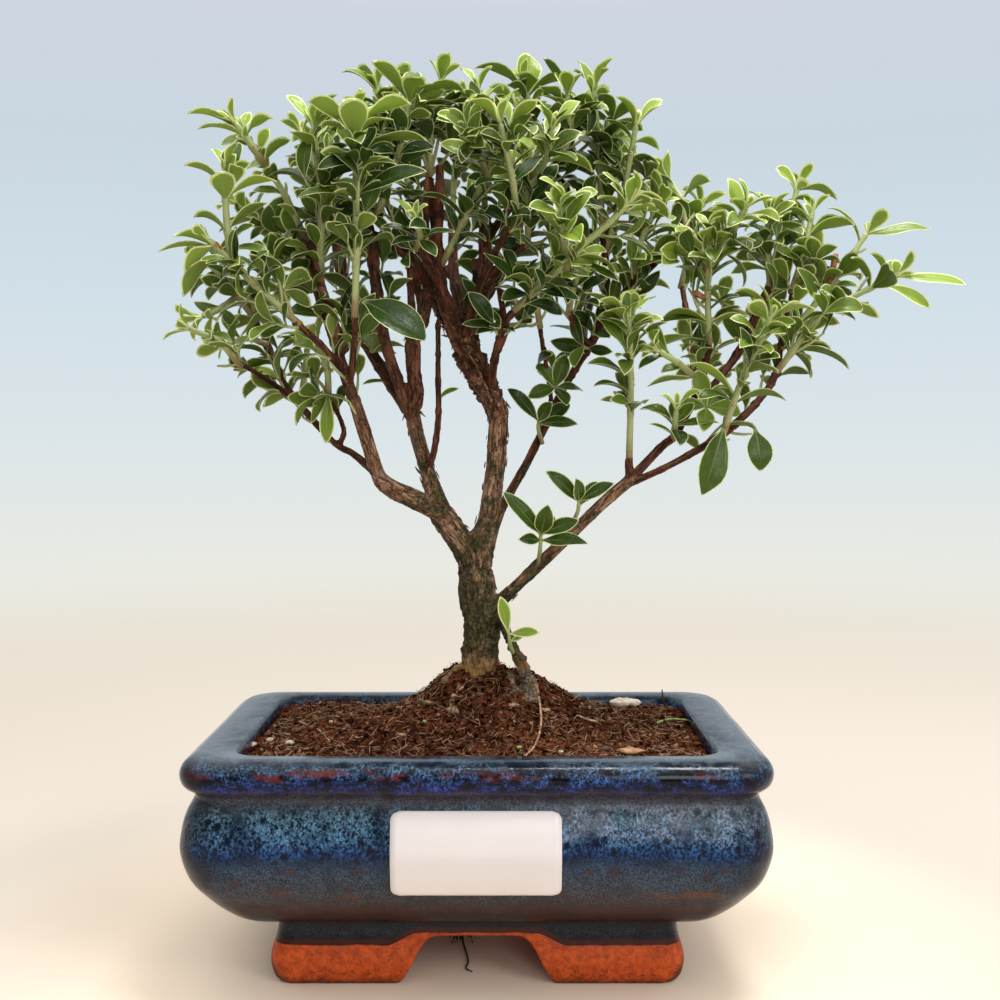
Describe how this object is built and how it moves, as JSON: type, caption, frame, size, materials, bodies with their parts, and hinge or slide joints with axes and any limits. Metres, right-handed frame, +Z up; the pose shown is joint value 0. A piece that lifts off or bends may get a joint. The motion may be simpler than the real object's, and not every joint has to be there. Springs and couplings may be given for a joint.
{
  "type": "serissa bonsai",
  "caption": "Young serissa bonsai with small cream-edged leaves on upright branches, planted in a low blue-glazed rectangular pot on an arched foot.",
  "frame": {"origin": "middle of the whole object's box, on the surface that the pot's feet stand on", "axes": "+Z up, +X along the pot's long side to the right as the labelled side is seen, +Y from the labelled side to the back"},
  "size_m": [0.2596, 0.1198, 0.2989],
  "materials": {
    "pot_glaze": "gloss",
    "net_plastic": "matte",
    "potting_soil": "matte",
    "stone": "matte",
    "dry_bark": "matte",
    "label": "satin",
    "bark": "matte",
    "leaf_and_stem": "satin"
  },
  "bodies": {
    "root": {"pot": "pot_glaze", "drain_mesh": "net_plastic", "soil": "potting_soil", "pale_stone": "stone", "bark_flake": "dry_bark", "shop_label": "label", "trunk_and_branches": "bark", "shoot_sucker": "leaf_and_stem", "shoot_low_rosette": "leaf_and_stem", "shoot_low_pair": "leaf_and_stem", "shoot_middle_rosette": "leaf_and_stem", "shoot_left_tip": "leaf_and_stem", "shoot_left_middle": "leaf_and_stem", "shoot_left_low": "leaf_and_stem", "shoot_left_hanging": "leaf_and_stem", "shoot_left_under": "leaf_and_stem", "shoot_left_inner_low": "leaf_and_stem", "shoot_left_stub": "leaf_and_stem", "shoot_left_upright": "leaf_and_stem", "shoot_left_front": "leaf_and_stem", "shoot_left_top": "leaf_and_stem", "shoot_left_centre_top": "leaf_and_stem", "shoot_left_back": "leaf_and_stem", "shoot_left_far_back": "leaf_and_stem", "shoot_left_side_back": "leaf_and_stem", "shoot_crown_back_left": "leaf_and_stem", "shoot_crown_left": "leaf_and_stem", "shoot_crown_centre_left": "leaf_and_stem", "shoot_crown_diagonal": "leaf_and_stem", "shoot_crown_rosette": "leaf_and_stem", "shoot_crown_centre": "leaf_and_stem", "shoot_crown_front": "leaf_and_stem", "shoot_crown_back": "leaf_and_stem", "shoot_crown_back_right": "leaf_and_stem", "shoot_crown_stub": "leaf_and_stem", "shoot_crown_peak": "leaf_and_stem", "shoot_crown_peak_right": "leaf_and_stem", "shoot_right_peak": "leaf_and_stem", "shoot_right_shoulder": "leaf_and_stem", "shoot_right_shoulder_back": "leaf_and_stem", "shoot_front_stub": "leaf_and_stem", "shoot_right_middle": "leaf_and_stem", "shoot_right_middle_low": "leaf_and_stem", "shoot_right_middle_back": "leaf_and_stem", "shoot_right_back": "leaf_and_stem", "shoot_arm_upright": "leaf_and_stem", "shoot_arm_stub_shoot": "leaf_and_stem", "shoot_arm_inner": "leaf_and_stem", "shoot_arm_top": "leaf_and_stem", "shoot_arm_front": "leaf_and_stem", "shoot_arm_long": "leaf_and_stem", "shoot_arm_tip": "leaf_and_stem", "shoot_arm_back": "leaf_and_stem", "shoot_arm_under": "leaf_and_stem", "shoot_arm_rosette": "leaf_and_stem", "shoot_arm_side": "leaf_and_stem", "shoot_middle_shoot": "leaf_and_stem", "shoot_middle_inner": "leaf_and_stem"}
  },
  "joints": []
}
